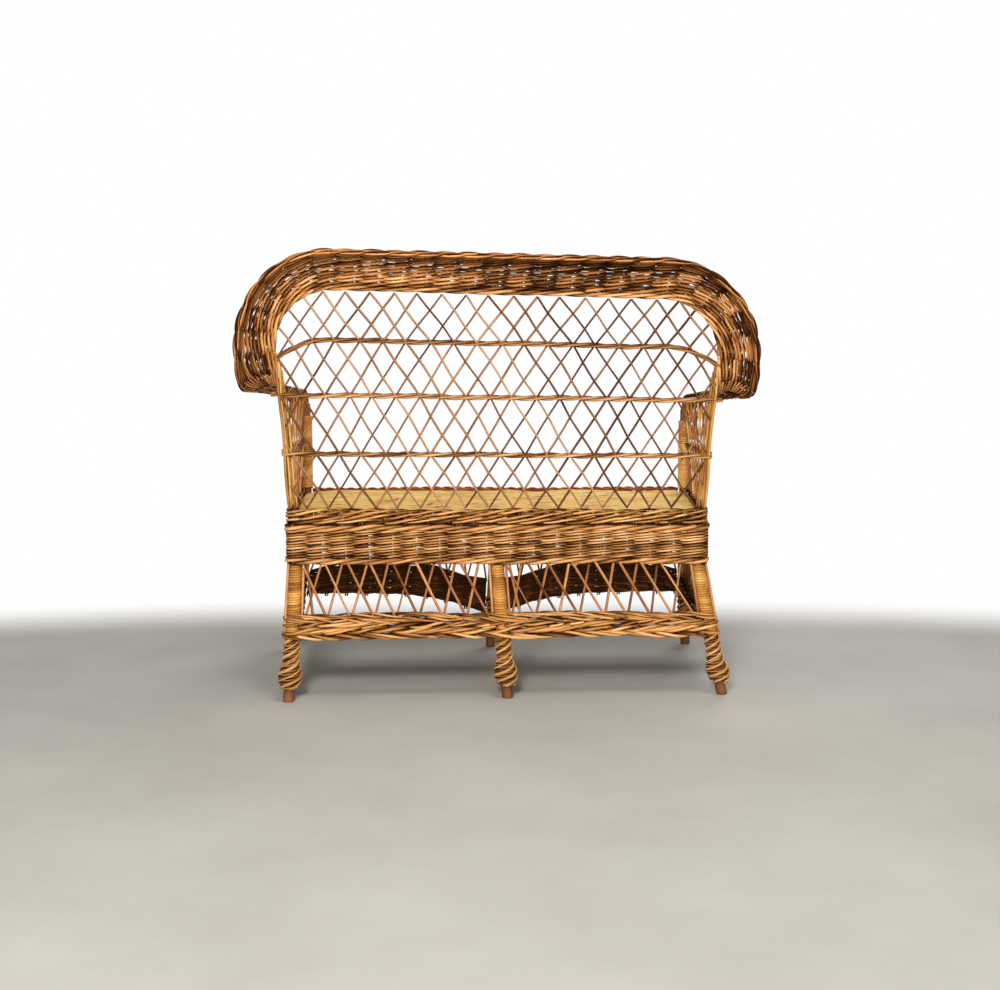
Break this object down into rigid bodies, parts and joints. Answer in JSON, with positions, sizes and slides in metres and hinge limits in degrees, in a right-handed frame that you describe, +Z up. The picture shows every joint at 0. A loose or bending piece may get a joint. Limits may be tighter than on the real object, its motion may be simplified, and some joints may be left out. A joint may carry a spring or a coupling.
{
  "type": "wicker settee bench",
  "caption": "Wicker settee bench with a diamond-lattice back, rolled arms and back edge, woven rush seat, cane-bound legs and a plaited stretcher.",
  "frame": {"origin": "middle of the footprint's bounding box, on the floor", "axes": "+X to the sitter's left along the length, +Y to the back of the settee, +Z up"},
  "size_m": [1.0734, 0.6562, 0.9448],
  "materials": {
    "willow": "satin",
    "lattice_cane": "satin",
    "flat_cane": "gloss",
    "rush": "matte",
    "bare_wood": "matte",
    "red_cane": "satin"
  },
  "bodies": {
    "root": {"back_band_lower": "willow", "back_band_middle": "willow", "back_band_upper": "willow", "back_lattice": "lattice_cane", "back_top_wale": "willow", "centre_rail": "bare_wood", "front_apron_left": "willow", "front_apron_right": "willow", "front_centre_foot_winding": "willow", "front_centre_leg": "bare_wood", "front_centre_leg_wrap": "flat_cane", "front_left_foot_winding": "willow", "front_left_leg_wrap": "flat_cane", "front_left_post": "bare_wood", "front_rail": "bare_wood", "front_right_foot_winding": "willow", "front_right_leg_wrap": "flat_cane", "front_right_post": "bare_wood", "front_seat_band": "willow", "left_arm_band": "willow", "left_arm_lattice": "lattice_cane", "left_arm_roll": "willow", "left_corner_stakes": "lattice_cane", "left_foot_plait": "willow", "left_lower_braid": "willow", "left_post_wrap": "flat_cane", "left_rail": "bare_wood", "left_seat_band": "willow", "left_shoulder_roll": "willow", "left_skirt_lattice": "lattice_cane", "rear_centre_foot_winding": "willow", "rear_centre_leg": "bare_wood", "rear_centre_leg_wrap": "flat_cane", "rear_foot_plait": "willow", "rear_left_foot_winding": "willow", "rear_left_leg": "bare_wood", "rear_left_leg_wrap": "flat_cane", "rear_lower_braid": "willow", "rear_rail": "bare_wood", "rear_right_foot_winding": "willow", "rear_right_leg": "bare_wood", "rear_right_leg_wrap": "flat_cane", "rear_seat_band": "willow", "rear_skirt_lattice_left": "lattice_cane", "rear_skirt_lattice_right": "lattice_cane", "right_arm_band": "willow", "right_arm_lattice": "lattice_cane", "right_arm_roll": "willow", "right_corner_stakes": "lattice_cane", "right_foot_plait": "willow", "right_lower_braid": "willow", "right_post_wrap": "flat_cane", "right_rail": "bare_wood", "right_seat_band": "willow", "right_shoulder_roll": "willow", "right_skirt_lattice": "lattice_cane", "seat_front_rod": "red_cane", "seat_panel": "rush", "top_roll": "willow"}
  },
  "joints": []
}
